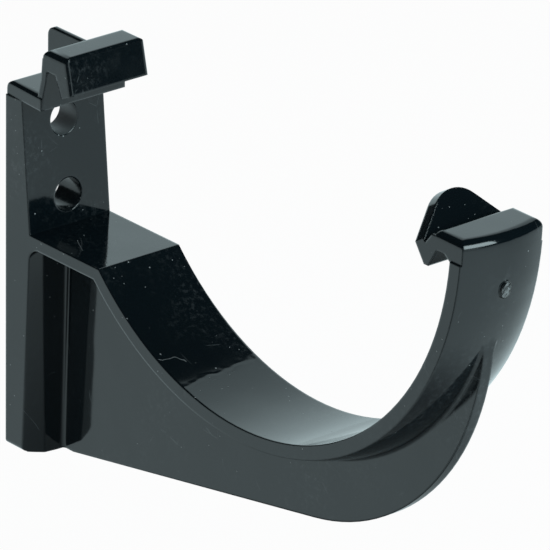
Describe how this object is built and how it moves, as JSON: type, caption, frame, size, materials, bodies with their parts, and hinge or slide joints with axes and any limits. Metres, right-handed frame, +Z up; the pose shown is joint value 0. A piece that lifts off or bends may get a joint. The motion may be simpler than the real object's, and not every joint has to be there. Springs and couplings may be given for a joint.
{
  "type": "gutter bracket",
  "caption": "Moulded fascia bracket with a screw plate, a curved cradle strap on a central web, and snap clips that hold both rims of a half-round gutter.",
  "frame": {"origin": "on the wall plane at the back of the plate, at mid width, midway between the two screw holes", "axes": "+X away from the wall, +Y along the gutter, +Z up"},
  "size_m": [0.1305, 0.02, 0.0886],
  "materials": {
    "plastic": "glossy black moulded PVC"
  },
  "bodies": {
    "root": {"bracket": "plastic"}
  },
  "joints": []
}
